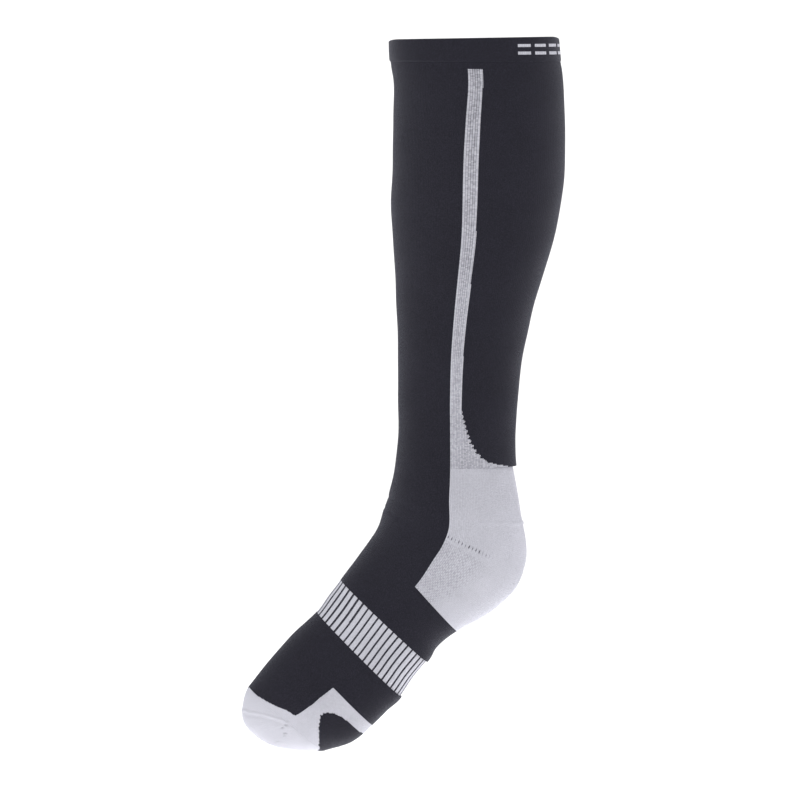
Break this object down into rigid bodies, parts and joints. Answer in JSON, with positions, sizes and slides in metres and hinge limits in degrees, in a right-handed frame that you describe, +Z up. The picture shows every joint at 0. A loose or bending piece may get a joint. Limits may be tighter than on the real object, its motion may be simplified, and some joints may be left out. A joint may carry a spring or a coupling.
{
  "type": "compression stocking",
  "caption": "Knee-high knitted compression stocking in black with a pale grey heel, toe, ribbed arch band and side stripe, filled out as when worn.",
  "frame": {"origin": "centre of the rim, the opening at the top of the stocking that the leg goes into", "axes": "+Z up along the leg, out of the opening; -Y forwards, to the toes, which hang down and forwards; +X to the outer side of the left leg"},
  "size_m": [0.0886, 0.2264, 0.5007],
  "materials": {
    "black_knit": "matt fine jersey with a faint nap",
    "grey_knit": "matt cushioned jersey and ribs"
  },
  "bodies": {
    "root": {"cuff": "black_knit", "upper_calf": "black_knit", "lower_calf": "black_knit", "shin": "black_knit", "ankle": "black_knit", "instep": "black_knit", "heel_splice": "grey_knit", "heel": "grey_knit", "midfoot": "black_knit", "arch_band": "grey_knit", "forefoot": "black_knit", "toe_base": "black_knit", "toe": "grey_knit"}
  },
  "joints": []
}
